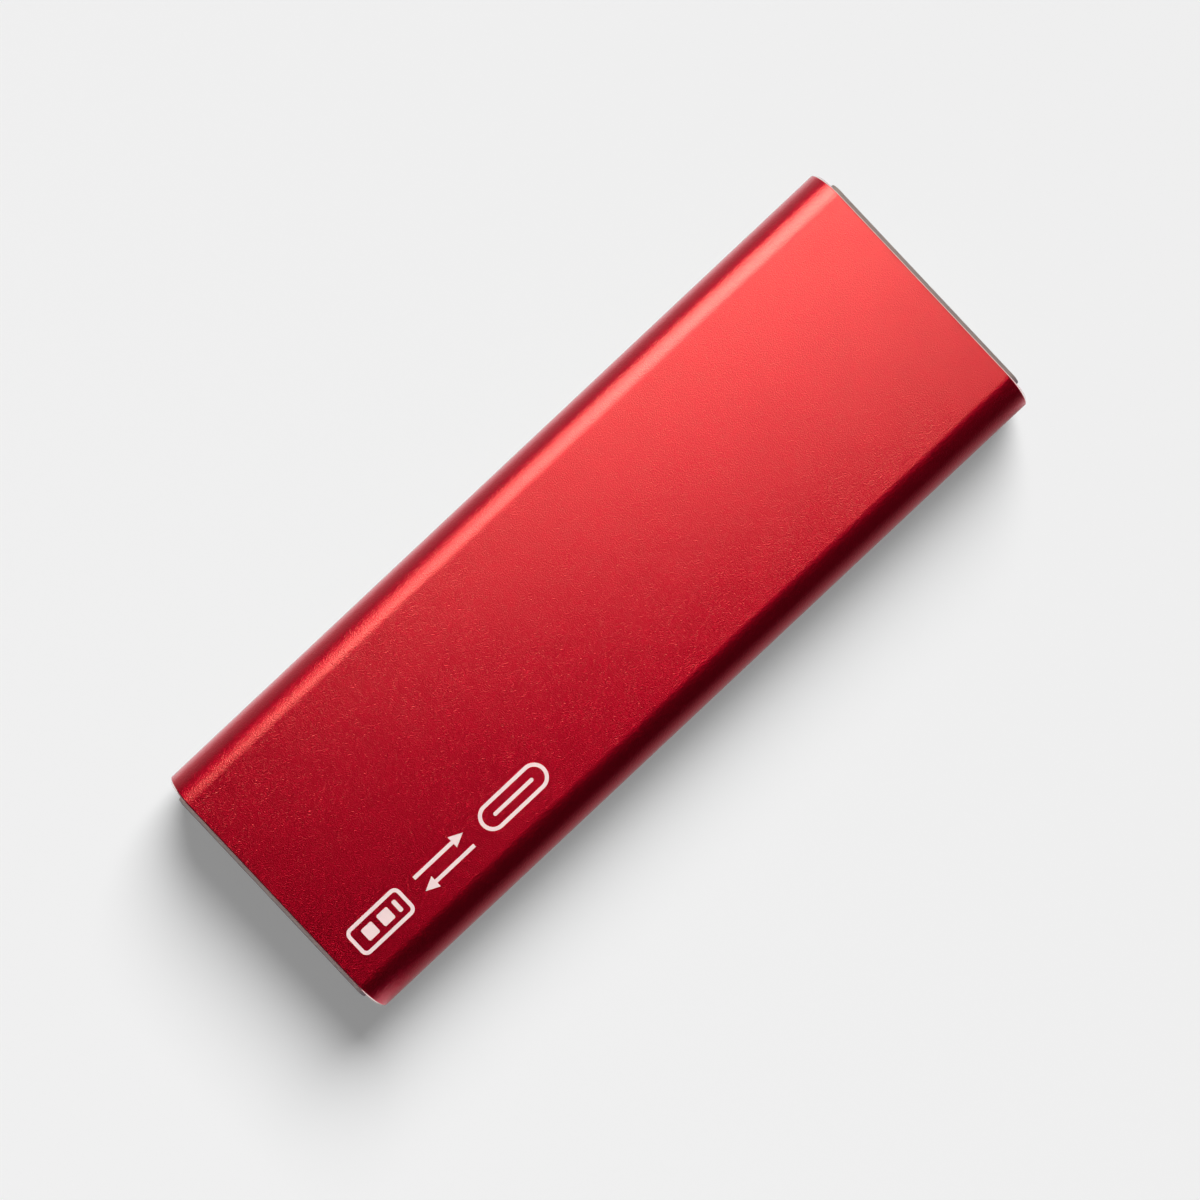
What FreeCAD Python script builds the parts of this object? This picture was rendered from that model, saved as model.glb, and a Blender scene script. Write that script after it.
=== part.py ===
import FreeCAD, Part
import os

# A slim portable drive: an extruded aluminium sleeve with a moulded plug cap pressed into each end.
# One circuit board slides in grooves in the sleeve's side walls and is screwed to the port cap.
# Millimetres. +X points out of the USB-C port, +Z is up, and the origin is the middle of the underside.

# Sleeve
SLEEVE_LENGTH = 93.2
WIDTH = 33.0
THICKNESS = 10.0
EDGE_RADIUS = 3.65
ROOF_WALL = 1.5
SIDE_WALL = 2.2
BORE_RADIUS = 1.2
RIM_CHAMFER = 0.15
MOUTH_CHAMFER = 0.15
RAIL_DEPTH = 1.2
GROOVE_DEPTH = 1.0

# End caps
CAP_PROUD = 0.55
CAP_PLATE = 1.6
CAP_CLEARANCE = 0.05
CAP_EDGE_RADIUS = 0.15
PLUG_DEPTH = 5.0
PLUG_WALL = 1.0
PLUG_INNER_RADIUS = 0.3
NOTCH_CLEARANCE = 0.3
RIBS_PER_FACE = 3
RIB_PITCH = 9.0
RIB_RADIUS = 0.3
RIB_LEAD = 0.8
TRAY_MARGIN = 1.0
FORK_SPACING = 16.0
FORK_WIDTH = 3.0
FORK_HEIGHT = 3.0
FORK_BITE = 2.0
FORK_ROOT = 1.5

# Circuit board
BOARD_THICKNESS = 0.8
BOARD_CORNER = 0.6
BOARD_SIDE_PLAY = 0.15
BOARD_FACE_PLAY = 0.1
BOARD_END_PLAY = 0.1
BOARD_FRONT_GAP = 1.0

# Screws that hold the board on the port cap's posts
SCREW_SPACING = 17.0
SCREW_RADIUS = 0.7
SCREW_LENGTH = 2.6
SCREW_HEAD_RADIUS = 1.3
SCREW_HEAD_HEIGHT = 0.6
SCREW_HEAD_EDGE = 0.2
SCREW_CLEARANCE = 0.04
SCREW_HOLE_PLAY = 0.15
SCREW_TIP_ROOM = 0.2
RECESS_LENGTH = 1.5
RECESS_WIDTH = 0.35
RECESS_DEPTH = 0.35
POST_WALL = 0.9

# USB-C receptacle, held in a notch at the board's own level
PORT_INNER_WIDTH = 8.34
PORT_INNER_HEIGHT = 2.56
PORT_SHELL = 0.3
PORT_DEPTH = 7.3
PORT_SETBACK = 0.3
PORT_CLEARANCE = 0.1
PORT_LEAD_IN = 0.25
PORT_BASE = 2.0
TAB_LENGTH = 1.2
TAB_REACH = 1.2
TAB_MARGIN = 0.5
TONGUE_WIDTH = 6.69
TONGUE_THICKNESS = 0.7
TONGUE_SETBACK = 0.6
TONGUE_BEVEL = 0.15
LATCH_THICKNESS = 0.15
LATCH_TIP = 0.4
CONTACTS_PER_ROW = 12
CONTACT_PITCH = 0.5
CONTACT_WIDTH = 0.25
CONTACT_THICKNESS = 0.1
CONTACT_TIP = 0.6
CONTACT_STEP = 0.3
CONTACT_TAIL = 0.9

# Status light and the pipe that carries its light through the port cap
LED_FROM_PORT = 2.6
LED_LENGTH = 0.8
LED_WIDTH = 1.6
LED_HEIGHT = 0.6
LED_SETBACK = 0.1
PIPE_RADIUS = 0.6
PIPE_CLEARANCE = 0.04
PIPE_SETBACK = 0.08
PIPE_FLANGE = 0.6
PIPE_FLANGE_MARGIN = 0.4

# Components on the board: length along X, width along Y, height off the board
CHIP_GAP = 2.0
PART_GAP = 0.4
SIDE_GAP = 1.5
FLASH_LENGTH = 18.0
FLASH_WIDTH = 14.0
FLASH_HEIGHT = 1.0
CONTROLLER_SIZE = 9.0
CONTROLLER_HEIGHT = 1.0
FIRMWARE_LENGTH = 3.0
FIRMWARE_WIDTH = 2.0
FIRMWARE_HEIGHT = 0.6
SURGE_LENGTH = 1.0
SURGE_WIDTH = 2.5
SURGE_HEIGHT = 0.5
REGULATOR_SIZE = 3.0
REGULATOR_HEIGHT = 0.85
INDUCTOR_COUNT = 2
INDUCTOR_PITCH = 2.6
INDUCTOR_LENGTH = 2.5
INDUCTOR_WIDTH = 2.0
INDUCTOR_HEIGHT = 1.2
INDUCTOR_CORNER = 0.3
CRYSTAL_LENGTH = 2.5
CRYSTAL_WIDTH = 2.0
CRYSTAL_HEIGHT = 0.6
CRYSTAL_BASE = 0.2
CRYSTAL_STEP = 0.15
CRYSTAL_CORNER = 0.3
BULK_COUNT = 3
BULK_PITCH = 4.5
BULK_LENGTH = 3.5
BULK_WIDTH = 2.8
BULK_HEIGHT = 1.2
BULK_BEVEL = 0.2
CERAMIC_PITCH = 4.0
CERAMIC_LENGTH = 1.0
CERAMIC_WIDTH = 0.5
CERAMIC_HEIGHT = 0.5
RESISTOR_COUNT = 7
RESISTOR_PITCH = 1.3
RESISTOR_LENGTH = 1.0
RESISTOR_WIDTH = 0.5
RESISTOR_HEIGHT = 0.35
CHIP_BEVEL = 0.08
PIN_MARK_RADIUS = 0.3
PIN_MARK_DEPTH = 0.04
PIN_MARK_INSET = 0.6
PAD_INSET = 0.5

# Levels, from the underside up
MID_Z = THICKNESS / 2
FLOOR_Z = ROOF_WALL
ROOF_Z = THICKNESS - ROOF_WALL
BOARD_TOP = MID_Z + BOARD_THICKNESS / 2
BOARD_UNDERSIDE = MID_Z - BOARD_THICKNESS / 2
GROOVE_TOP = BOARD_TOP + BOARD_FACE_PLAY

# Widths that fit one another
BORE_HEIGHT = ROOF_Z - FLOOR_Z
MOUTH_WIDTH = WIDTH - 2 * SIDE_WALL
RAIL_GAP = MOUTH_WIDTH - 2 * RAIL_DEPTH
GROOVE_WIDTH = RAIL_GAP + 2 * GROOVE_DEPTH
BOARD_WIDTH = GROOVE_WIDTH - 2 * BOARD_SIDE_PLAY
CAP_WIDTH = MOUTH_WIDTH - 2 * CAP_CLEARANCE
CAP_HEIGHT = BORE_HEIGHT - 2 * CAP_CLEARANCE
CAP_CORNER = BORE_RADIUS - CAP_CLEARANCE
PORT_OUTER_WIDTH = PORT_INNER_WIDTH + 2 * PORT_SHELL
PORT_OUTER_HEIGHT = PORT_INNER_HEIGHT + 2 * PORT_SHELL
POST_RADIUS = SCREW_RADIUS + SCREW_CLEARANCE + POST_WALL

# Places along X, from the port backwards
SLEEVE_END = SLEEVE_LENGTH / 2
CAP_FACE = SLEEVE_END + CAP_PROUD
PLATE_BACK = CAP_FACE - CAP_PLATE
SHOULDER = SLEEVE_END - PLUG_DEPTH
BOARD_FRONT = PLATE_BACK - BOARD_FRONT_GAP
PORT_FRONT = CAP_FACE - PORT_SETBACK
TONGUE_FRONT = PORT_FRONT - TONGUE_SETBACK
PORT_REAR = PORT_FRONT - PORT_DEPTH
PORT_BASE_FRONT = PORT_REAR + PORT_BASE
TAIL_START = PORT_REAR - CONTACT_STEP
TAIL_END = TAIL_START - CONTACT_TAIL
SURGE_X = TAIL_END - PART_GAP - SURGE_LENGTH / 2
POWER_HALF = max(REGULATOR_SIZE, INDUCTOR_LENGTH, 2 * SCREW_HEAD_RADIUS) / 2
POWER_X = SURGE_X - SURGE_LENGTH / 2 - PART_GAP - POWER_HALF
CONTROLLER_X = POWER_X - POWER_HALF - CHIP_GAP - CONTROLLER_SIZE / 2
RESISTOR_X = CONTROLLER_X - CONTROLLER_SIZE / 2 - CHIP_GAP / 2
FLASH_FRONT_X = CONTROLLER_X - CONTROLLER_SIZE / 2 - CHIP_GAP - FLASH_LENGTH / 2
FLASH_REAR_X = FLASH_FRONT_X - FLASH_LENGTH - CHIP_GAP
BULK_X = FLASH_REAR_X - FLASH_LENGTH / 2 - CHIP_GAP - BULK_LENGTH / 2
FORK_SEAT = FORK_ROOT - PLATE_BACK
BOARD_REAR = FORK_SEAT + BOARD_END_PLAY

# Places along Y
LED_Y = PORT_OUTER_WIDTH / 2 + LED_FROM_PORT
POST_Y = SCREW_SPACING / 2

# Sides of the board
UPPER = 1
LOWER = -1

ORIGIN = FreeCAD.Vector(0, 0, 0)
X_AXIS = FreeCAD.Vector(1, 0, 0)
Z_AXIS = FreeCAD.Vector(0, 0, 1)
TOUCH = 1e-4


def block(x_from, x_to, y_from, y_to, z_from, z_to):
    """A box between six planes."""
    return Part.makeBox(x_to - x_from, y_to - y_from, z_to - z_from, FreeCAD.Vector(x_from, y_from, z_from))


def slab(x_from, x_to, width, z_from, z_to):
    """A box centred on the drive's middle plane."""
    return block(x_from, x_to, -width / 2, width / 2, z_from, z_to)


def wire_bar(edges, x_from, x_to):
    """A bar along X with the closed outline that the edges make at x_from as its section."""
    return Part.Face(Part.Wire(edges)).extrude(X_AXIS * (x_to - x_from))


def rounded_bar(width, height, radius, x_from, x_to):
    """A bar along X whose section is a rounded rectangle at the board's level."""
    flat_y = width / 2 - radius
    flat_z = height / 2 - radius
    reach = radius * 0.5 ** 0.5

    def at(y, z):
        return FreeCAD.Vector(x_from, y, MID_Z + z)

    edges = []
    for turn_y, turn_z in ((1, 1), (-1, 1), (-1, -1), (1, -1)):
        side = at(turn_y * width / 2, turn_z * flat_z)
        middle = at(turn_y * (flat_y + reach), turn_z * (flat_z + reach))
        end = at(turn_y * flat_y, turn_z * height / 2)
        edges.append(Part.Arc(side, middle, end).toShape())
    for face in (1, -1):
        level = face * height / 2
        upright = face * width / 2
        edges.append(Part.LineSegment(at(-flat_y, level), at(flat_y, level)).toShape())
        edges.append(Part.LineSegment(at(upright, -flat_z), at(upright, flat_z)).toShape())
    return wire_bar(Part.__sortEdges__(edges), x_from, x_to)


def stadium_bar(width, height, x_from, x_to):
    """A bar along X whose section is a slot with half-round ends at the board's level."""
    radius = height / 2
    flat = width / 2 - radius

    def at(y, z):
        return FreeCAD.Vector(x_from, y, MID_Z + z)

    edges = [
        Part.LineSegment(at(-flat, radius), at(flat, radius)).toShape(),
        Part.Arc(at(flat, radius), at(width / 2, 0), at(flat, -radius)).toShape(),
        Part.LineSegment(at(flat, -radius), at(-flat, -radius)).toShape(),
        Part.Arc(at(-flat, -radius), at(-width / 2, 0), at(-flat, radius)).toShape(),
    ]
    return wire_bar(edges, x_from, x_to)


def rod_x(radius, x_from, x_to, y, z):
    """A round rod along X."""
    return Part.makeCylinder(radius, x_to - x_from, FreeCAD.Vector(x_from, y, z), X_AXIS)


def rod_z(radius, z_from, z_to, x, y):
    """An upright round rod."""
    return Part.makeCylinder(radius, z_to - z_from, FreeCAD.Vector(x, y, z_from), Z_AXIS)


def edges_at_x(shape, x, half_width):
    """The edges that lie in the plane at x and stay within half_width of the middle."""
    found = []
    for edge in shape.Edges:
        box = edge.BoundBox
        in_plane = abs(box.XMin - x) < TOUCH and abs(box.XMax - x) < TOUCH
        within = max(-box.YMin, box.YMax) < half_width + TOUCH
        if in_plane and within:
            found.append(edge)
    return found


def edges_at_z(shape, z):
    """The edges that lie in the level plane at z."""
    return [e for e in shape.Edges if abs(e.BoundBox.ZMin - z) < TOUCH and abs(e.BoundBox.ZMax - z) < TOUCH]


def upright_edges(shape):
    """The straight edges that run along Z."""
    return [e for e in shape.Edges if e.BoundBox.XLength < TOUCH and e.BoundBox.YLength < TOUCH]


def sleeve():
    """The extrusion: thick side walls grooved for the board, opened out at both ends for the caps."""
    body = rounded_bar(WIDTH, THICKNESS, EDGE_RADIUS, -SLEEVE_END, SLEEVE_END)
    rims = edges_at_x(body, SLEEVE_END, WIDTH / 2) + edges_at_x(body, -SLEEVE_END, WIDTH / 2)
    body = body.makeChamfer(RIM_CHAMFER, rims)
    body = body.cut(rounded_bar(RAIL_GAP, BORE_HEIGHT, BORE_RADIUS, -SLEEVE_END, SLEEVE_END))
    body = body.cut(slab(-SLEEVE_END, SLEEVE_END, GROOVE_WIDTH, BOARD_UNDERSIDE, GROOVE_TOP))
    body = body.cut(rounded_bar(MOUTH_WIDTH, BORE_HEIGHT, BORE_RADIUS, SHOULDER, SLEEVE_END))
    body = body.cut(rounded_bar(MOUTH_WIDTH, BORE_HEIGHT, BORE_RADIUS, -SLEEVE_END, -SHOULDER))
    mouths = edges_at_x(body, SLEEVE_END, MOUTH_WIDTH / 2) + edges_at_x(body, -SLEEVE_END, MOUTH_WIDTH / 2)
    return body.makeChamfer(MOUTH_CHAMFER, mouths)


def plug_cap():
    """What both caps share: a face plate, a hollow plug split at the board's level, and crush ribs."""
    plate = rounded_bar(CAP_WIDTH, CAP_HEIGHT, CAP_CORNER, PLATE_BACK, CAP_FACE)
    plate = plate.makeFillet(CAP_EDGE_RADIUS, edges_at_x(plate, CAP_FACE, CAP_WIDTH / 2))
    plug = rounded_bar(CAP_WIDTH, CAP_HEIGHT, CAP_CORNER, SHOULDER, PLATE_BACK)
    hollow_width = CAP_WIDTH - 2 * PLUG_WALL
    hollow_height = CAP_HEIGHT - 2 * PLUG_WALL
    plug = plug.cut(rounded_bar(hollow_width, hollow_height, PLUG_INNER_RADIUS, SHOULDER, PLATE_BACK))
    notch_floor = BOARD_UNDERSIDE - NOTCH_CLEARANCE
    notch_roof = BOARD_TOP + NOTCH_CLEARANCE
    plug = plug.cut(slab(SHOULDER, PLATE_BACK, CAP_WIDTH, notch_floor, notch_roof))
    ribs = []
    for index in range(RIBS_PER_FACE):
        y = (index - (RIBS_PER_FACE - 1) / 2) * RIB_PITCH
        for z in (FLOOR_Z + RIB_RADIUS, ROOF_Z - RIB_RADIUS):
            ribs.append(rod_x(RIB_RADIUS, SHOULDER + RIB_LEAD, SLEEVE_END - RIB_LEAD, y, z))
    return plate.fuse([plug] + ribs)


def port_end_cap():
    """The cap at the port: port slot, light hole, and a tray whose posts carry the board."""
    cap = plug_cap()
    tray_floor = FLOOR_Z + CAP_CLEARANCE
    tray_rear = POWER_X - POST_RADIUS - TRAY_MARGIN
    tray_width = SCREW_SPACING + 2 * (POST_RADIUS + TRAY_MARGIN)
    added = [slab(tray_rear, PLATE_BACK, tray_width, tray_floor, tray_floor + PLUG_WALL)]
    for y in (-POST_Y, POST_Y):
        added.append(rod_z(POST_RADIUS, tray_floor, BOARD_UNDERSIDE, POWER_X, y))
    cap = cap.fuse(added)

    slot_width = PORT_OUTER_WIDTH + 2 * PORT_CLEARANCE
    slot_height = PORT_OUTER_HEIGHT + 2 * PORT_CLEARANCE
    cap = cap.cut(stadium_bar(slot_width, slot_height, PLATE_BACK, CAP_FACE))
    cap = cap.removeSplitter()
    cap = cap.makeChamfer(PORT_LEAD_IN, edges_at_x(cap, CAP_FACE, slot_width / 2))
    cuts = [rod_x(PIPE_RADIUS + PIPE_CLEARANCE, PLATE_BACK, CAP_FACE, LED_Y, MID_Z)]
    hole_floor = BOARD_TOP - SCREW_LENGTH - SCREW_TIP_ROOM
    for y in (-POST_Y, POST_Y):
        cuts.append(rod_z(SCREW_RADIUS + SCREW_CLEARANCE, hole_floor, BOARD_UNDERSIDE, POWER_X, y))
    return cap.cut(cuts)


def rear_end_cap():
    """The blind cap: two forks on its plate grip the board's rear edge."""
    cap = plug_cap().mirror(ORIGIN, X_AXIS)
    fork_end = FORK_SEAT + FORK_BITE
    for y in (-FORK_SPACING / 2, FORK_SPACING / 2):
        sides = (y - FORK_WIDTH / 2, y + FORK_WIDTH / 2)
        fork = block(-PLATE_BACK, fork_end, *sides, MID_Z - FORK_HEIGHT / 2, MID_Z + FORK_HEIGHT / 2)
        fork = fork.cut(block(FORK_SEAT, fork_end, *sides, BOARD_UNDERSIDE, GROOVE_TOP))
        cap = cap.fuse(fork)
    return cap.removeSplitter()


def circuit_board():
    """The board: rounded corners, a notch for the receptacle and two screw holes."""
    board = slab(BOARD_REAR, BOARD_FRONT, BOARD_WIDTH, BOARD_UNDERSIDE, BOARD_TOP)
    board = board.makeFillet(BOARD_CORNER, upright_edges(board))
    notch_width = PORT_OUTER_WIDTH + 2 * PORT_CLEARANCE
    cuts = [slab(TAIL_START, BOARD_FRONT, notch_width, BOARD_UNDERSIDE, BOARD_TOP)]
    for y in (-POST_Y, POST_Y):
        cuts.append(rod_z(SCREW_RADIUS + SCREW_HOLE_PLAY, BOARD_UNDERSIDE, BOARD_TOP, POWER_X, y))
    return board.cut(cuts)


def board_screw(y):
    """A pan-head screw with a cross recess, through the board into its post."""
    head_top = BOARD_TOP + SCREW_HEAD_HEIGHT
    head = rod_z(SCREW_HEAD_RADIUS, BOARD_TOP, head_top, POWER_X, y)
    head = head.makeChamfer(SCREW_HEAD_EDGE, edges_at_z(head, head_top))
    screw = head.fuse(rod_z(SCREW_RADIUS, BOARD_TOP - SCREW_LENGTH, BOARD_TOP, POWER_X, y))
    for length, width in ((RECESS_LENGTH, RECESS_WIDTH), (RECESS_WIDTH, RECESS_LENGTH)):
        x_sides = (POWER_X - length / 2, POWER_X + length / 2)
        y_sides = (y - width / 2, y + width / 2)
        screw = screw.cut(block(*x_sides, *y_sides, head_top - RECESS_DEPTH, head_top))
    return screw


def usb_c_shell():
    """The drawn steel shell, with two pairs of tabs that lie on the board."""
    shell = stadium_bar(PORT_OUTER_WIDTH, PORT_OUTER_HEIGHT, PORT_REAR, PORT_FRONT)
    tab_span = PORT_OUTER_WIDTH + 2 * TAB_REACH
    for start in (PORT_REAR + TAB_MARGIN, BOARD_FRONT - TAB_MARGIN - TAB_LENGTH):
        shell = shell.fuse(slab(start, start + TAB_LENGTH, tab_span, BOARD_TOP, BOARD_TOP + PORT_SHELL))
    return shell.cut(stadium_bar(PORT_INNER_WIDTH, PORT_INNER_HEIGHT, PORT_REAR, PORT_FRONT))


def usb_c_latch_plate():
    """The steel plate in the middle of the tongue, which shows along the tongue's sides."""
    half = LATCH_THICKNESS / 2
    return slab(PORT_REAR, TONGUE_FRONT - LATCH_TIP, TONGUE_WIDTH, MID_Z - half, MID_Z + half)


def usb_c_contacts():
    """Both rows of contact strips: a blade on the tongue, a step, and a solder tail on the board."""
    blade_z = MID_Z + TONGUE_THICKNESS / 2
    blade_front = TONGUE_FRONT - CONTACT_TIP
    under = [(blade_front, blade_z), (PORT_REAR, blade_z), (TAIL_START, BOARD_TOP), (TAIL_END, BOARD_TOP)]
    over = [(x, z + CONTACT_THICKNESS) for x, z in reversed(under)]
    strips = []
    for index in range(CONTACTS_PER_ROW):
        y = (index - (CONTACTS_PER_ROW - 1) / 2) * CONTACT_PITCH - CONTACT_WIDTH / 2
        points = [FreeCAD.Vector(x, y, z) for x, z in under + over]
        outline = Part.makePolygon(points + points[:1])
        strip = Part.Face(outline).extrude(FreeCAD.Vector(0, CONTACT_WIDTH, 0))
        strips.append(strip)
        strips.append(strip.mirror(FreeCAD.Vector(0, 0, MID_Z), Z_AXIS))
    return Part.makeCompound(strips)


def usb_c_tongue():
    """The moulded insulator: a block that closes the shell's rear, with the tongue in front."""
    half = TONGUE_THICKNESS / 2
    tongue = slab(PORT_BASE_FRONT, TONGUE_FRONT, TONGUE_WIDTH, MID_Z - half, MID_Z + half)
    tongue = tongue.makeChamfer(TONGUE_BEVEL, edges_at_x(tongue, TONGUE_FRONT, TONGUE_WIDTH / 2))
    base = stadium_bar(PORT_INNER_WIDTH, PORT_INNER_HEIGHT, PORT_REAR, PORT_BASE_FRONT)
    return base.fuse(tongue).cut([usb_c_latch_plate()] + usb_c_contacts().Solids)


def light_pipe():
    """A clear pin in the cap's light hole, with a flange behind the plate that faces the light."""
    reach = PIPE_RADIUS + PIPE_FLANGE_MARGIN
    pin = rod_x(PIPE_RADIUS, PLATE_BACK, CAP_FACE - PIPE_SETBACK, LED_Y, MID_Z)
    flange_back = PLATE_BACK - PIPE_FLANGE
    flange = block(flange_back, PLATE_BACK, LED_Y - reach, LED_Y + reach, MID_Z - reach, BOARD_TOP + LED_HEIGHT)
    return flange.fuse(pin)


def seated(shape, x, y, side):
    """Moves a component modelled on z = 0 to its place on the board's upper or lower side."""
    if side == LOWER:
        shape = shape.mirror(ORIGIN, Z_AXIS)
    level = BOARD_TOP if side == UPPER else BOARD_UNDERSIDE
    return shape.translated(FreeCAD.Vector(x, y, level))


def body_block(length, width, height):
    """A component's block, centred on the origin and standing on z = 0."""
    return slab(-length / 2, length / 2, width, 0, height)


def chip(x, y, length, width, height, side=UPPER):
    """A moulded chip: bevelled top edges and a dimple that marks its first pin."""
    body = body_block(length, width, height)
    body = body.makeChamfer(CHIP_BEVEL, edges_at_z(body, height))
    mark_x = PIN_MARK_INSET - length / 2
    mark_y = PIN_MARK_INSET - width / 2
    body = body.cut(rod_z(PIN_MARK_RADIUS, height - PIN_MARK_DEPTH, height, mark_x, mark_y))
    return seated(body, x, y, side)


def clock_crystal():
    """The crystal's ceramic base with a rounded metal lid."""
    base = body_block(CRYSTAL_LENGTH, CRYSTAL_WIDTH, CRYSTAL_BASE)
    lid_length = CRYSTAL_LENGTH - 2 * CRYSTAL_STEP
    lid = body_block(lid_length, CRYSTAL_WIDTH - 2 * CRYSTAL_STEP, CRYSTAL_HEIGHT)
    lid = lid.makeFillet(CRYSTAL_CORNER, upright_edges(lid))
    y = CONTROLLER_SIZE / 2 + SIDE_GAP + CRYSTAL_WIDTH / 2
    return seated(base.fuse(lid), CONTROLLER_X, y, UPPER)


def power_inductors():
    """A row of moulded coils beside the regulator."""
    coil = body_block(INDUCTOR_LENGTH, INDUCTOR_WIDTH, INDUCTOR_HEIGHT)
    coil = coil.makeFillet(INDUCTOR_CORNER, upright_edges(coil))
    first_y = -(PART_GAP + INDUCTOR_WIDTH) / 2
    places = [first_y - index * INDUCTOR_PITCH for index in range(INDUCTOR_COUNT)]
    return Part.makeCompound([seated(coil, POWER_X, y, UPPER) for y in places])


def bulk_capacitors():
    """A row of large capacitors behind the flash chips."""
    body = body_block(BULK_LENGTH, BULK_WIDTH, BULK_HEIGHT)
    body = body.makeChamfer(BULK_BEVEL, edges_at_z(body, BULK_HEIGHT))
    places = [(index - (BULK_COUNT - 1) / 2) * BULK_PITCH for index in range(BULK_COUNT)]
    return Part.makeCompound([seated(body, BULK_X, y, UPPER) for y in places])


def ceramic_capacitors():
    """Small capacitors in a row along each side of the flash chips."""
    body = body_block(CERAMIC_LENGTH, CERAMIC_WIDTH, CERAMIC_HEIGHT)
    row_start = FLASH_REAR_X - FLASH_LENGTH / 2 + CERAMIC_LENGTH / 2
    row_length = FLASH_FRONT_X - FLASH_REAR_X + FLASH_LENGTH - CERAMIC_LENGTH
    row_y = FLASH_WIDTH / 2 + SIDE_GAP + CERAMIC_WIDTH / 2
    solids = []
    for index in range(int(row_length / CERAMIC_PITCH) + 1):
        for y in (-row_y, row_y):
            solids.append(seated(body, row_start + index * CERAMIC_PITCH, y, UPPER))
    return Part.makeCompound(solids)


def chip_resistors():
    """A row of resistors between the controller and the flash chips."""
    body = body_block(RESISTOR_LENGTH, RESISTOR_WIDTH, RESISTOR_HEIGHT)
    places = [(index - (RESISTOR_COUNT - 1) / 2) * RESISTOR_PITCH for index in range(RESISTOR_COUNT)]
    return Part.makeCompound([seated(body, RESISTOR_X, y, UPPER) for y in places])


def status_led():
    """A side-facing light at the board's front edge, in line with the light pipe."""
    x = BOARD_FRONT - LED_SETBACK - LED_LENGTH / 2
    return seated(body_block(LED_LENGTH, LED_WIDTH, LED_HEIGHT), x, LED_Y, UPPER)


def flash_pad(z_from, z_to):
    """A soft pad that carries the heat of one side's flash chips to the sleeve."""
    rear = FLASH_REAR_X - FLASH_LENGTH / 2 + PAD_INSET
    front = FLASH_FRONT_X + FLASH_LENGTH / 2 - PAD_INSET
    return slab(rear, front, FLASH_WIDTH - 2 * PAD_INSET, z_from, z_to)


def controller_pad():
    """A soft pad between the controller and the sleeve's roof."""
    half = CONTROLLER_SIZE / 2 - PAD_INSET
    return slab(CONTROLLER_X - half, CONTROLLER_X + half, 2 * half, BOARD_TOP + CONTROLLER_HEIGHT, ROOF_Z)


def pieces():
    """Every piece of the drive by name."""
    firmware_y = -(CONTROLLER_SIZE / 2 + SIDE_GAP + FIRMWARE_WIDTH / 2)
    regulator_y = (PART_GAP + REGULATOR_SIZE) / 2
    made = {
        "sleeve": sleeve(),
        "port_end_cap": port_end_cap(),
        "rear_end_cap": rear_end_cap(),
        "usb_c_shell": usb_c_shell(),
        "usb_c_tongue": usb_c_tongue(),
        "usb_c_latch_plate": usb_c_latch_plate(),
        "usb_c_contacts": usb_c_contacts(),
        "light_pipe": light_pipe(),
        "status_led": status_led(),
        "circuit_board": circuit_board(),
        "board_screws": Part.makeCompound([board_screw(-POST_Y), board_screw(POST_Y)]),
        "controller_chip": chip(CONTROLLER_X, 0, CONTROLLER_SIZE, CONTROLLER_SIZE, CONTROLLER_HEIGHT),
        "firmware_chip": chip(CONTROLLER_X, firmware_y, FIRMWARE_LENGTH, FIRMWARE_WIDTH, FIRMWARE_HEIGHT),
        "surge_protector": chip(SURGE_X, 0, SURGE_LENGTH, SURGE_WIDTH, SURGE_HEIGHT),
        "power_regulator": chip(POWER_X, regulator_y, REGULATOR_SIZE, REGULATOR_SIZE, REGULATOR_HEIGHT),
        "power_inductors": power_inductors(),
        "clock_crystal": clock_crystal(),
        "bulk_capacitors": bulk_capacitors(),
        "ceramic_capacitors": ceramic_capacitors(),
        "chip_resistors": chip_resistors(),
        "controller_thermal_pad": controller_pad(),
        "upper_flash_thermal_pad": flash_pad(BOARD_TOP + FLASH_HEIGHT, ROOF_Z),
        "lower_flash_thermal_pad": flash_pad(FLOOR_Z, BOARD_UNDERSIDE - FLASH_HEIGHT),
    }
    flash_places = [(UPPER, FLASH_FRONT_X), (UPPER, FLASH_REAR_X), (LOWER, FLASH_FRONT_X), (LOWER, FLASH_REAR_X)]
    for number, (side, x) in enumerate(flash_places, start=1):
        made[f"flash_chip_{number}"] = chip(x, 0, FLASH_LENGTH, FLASH_WIDTH, FLASH_HEIGHT, side)
    return made


os.makedirs("parts", exist_ok=True)
for name, shape in pieces().items():
    shape.exportStep(f"parts/{name}.step")
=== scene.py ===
import math

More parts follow.
